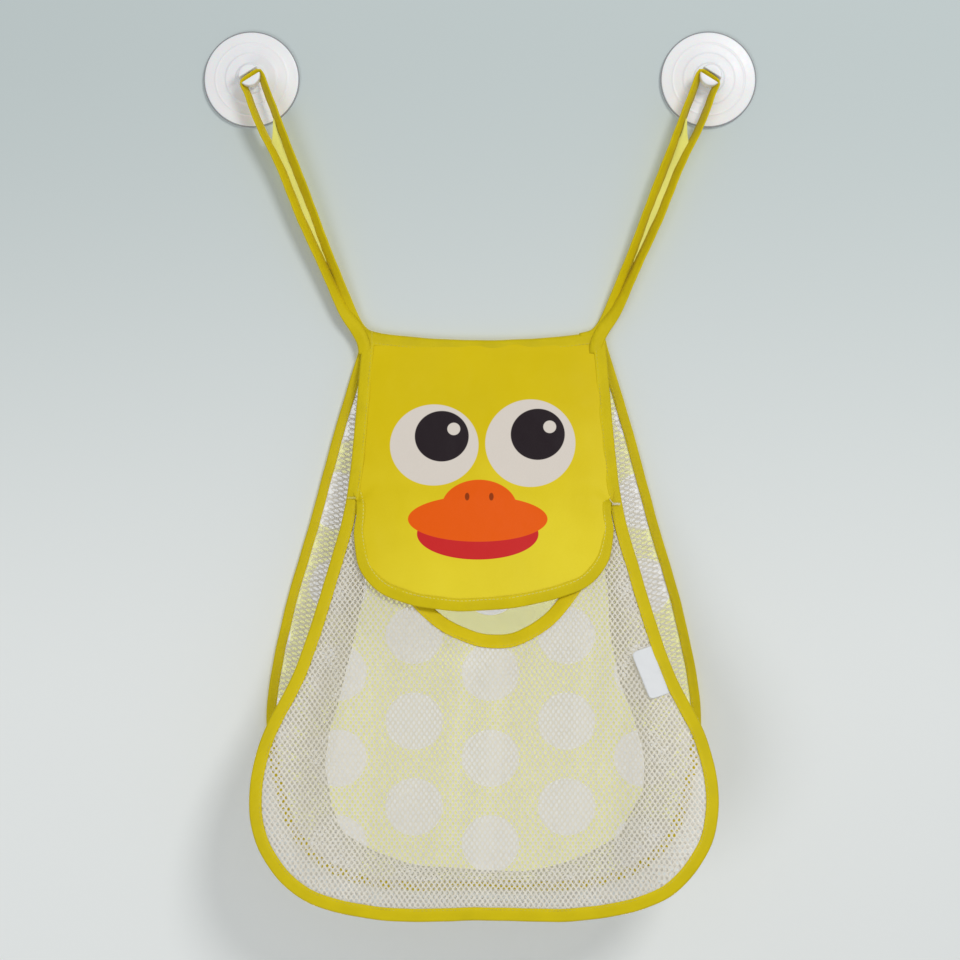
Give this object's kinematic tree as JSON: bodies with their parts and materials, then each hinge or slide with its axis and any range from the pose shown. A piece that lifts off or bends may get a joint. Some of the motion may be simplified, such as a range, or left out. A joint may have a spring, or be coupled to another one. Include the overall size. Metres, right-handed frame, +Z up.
{
  "type": "bath toy organizer",
  "caption": "Hanging bath toy bag with open mesh front and gusset, printed face panel with a free flap, yellow tape loops and slotted suction cups.",
  "frame": {"origin": "on the wall plane, midway between the centres of the two suction cups", "axes": "+X right along the wall, +Y into the wall, +Z up; the bag hangs on the -Y side"},
  "size_m": [0.374, 0.0933, 0.583],
  "materials": {
    "vinyl": "soft moulded white vinyl, glossy and slightly translucent",
    "yellow_tape": "woven yellow binding tape, satin",
    "yellow_thread": "yellow sewing thread, close stitches",
    "face_cloth": "bright yellow plain-woven cloth with a printed face",
    "dotted_cloth": "pale yellow plain-woven cloth with white dots",
    "mesh": "white knitted polyester mesh with staggered oval holes",
    "label_cloth": "bare white woven label"
  },
  "bodies": {
    "wall_cups": {"left_suction_cup": "vinyl", "right_suction_cup": "vinyl", "left_loop_bight": "yellow_tape", "right_loop_bight": "yellow_tape"},
    "left_loop": {"left_hanging_loop": "yellow_tape"},
    "right_loop": {"right_hanging_loop": "yellow_tape"},
    "bag": {"back_panel": "dotted_cloth", "face_panel": "face_cloth", "front_mesh_panel": "mesh", "gusset_mesh": "mesh", "top_binding": "yellow_tape", "front_binding": "yellow_tape", "back_binding": "yellow_tape", "neckline_binding": "yellow_tape", "blank_label": "label_cloth", "left_corner_bartack": "yellow_thread", "right_corner_bartack": "yellow_thread", "left_flap_tack": "yellow_thread", "right_flap_tack": "yellow_thread"},
    "flap": {"face_flap": "face_cloth", "flap_binding": "yellow_tape"}
  },
  "joints": [
    {"name": "left_loop_swing", "type": "hinge", "parent": "wall_cups", "child": "left_loop", "pos_m": [-0.1545, -0.0137, -0.0124], "axis": [-1, 0, 0], "range_deg": [0, 60]},
    {"name": "right_loop_swing", "type": "hinge", "parent": "wall_cups", "child": "right_loop", "pos_m": [0.1545, -0.0137, -0.0124], "axis": [-1, 0, 0], "range_deg": [0, 60]},
    {"name": "bag_swing", "type": "hinge", "parent": "left_loop", "child": "bag", "pos_m": [0, -0.0029, -0.1726], "axis": [-1, 0, 0], "range_deg": [0, 75]},
    {"name": "flap_lift", "type": "hinge", "parent": "bag", "child": "flap", "pos_m": [0.0025, -0.03405, -0.28699], "axis": [-1, 0, 0], "range_deg": [0, 120]}
  ],
  "couplings": [
    {"joint": "right_loop_swing", "follows": "left_loop_swing", "ratio": 1}
  ]
}
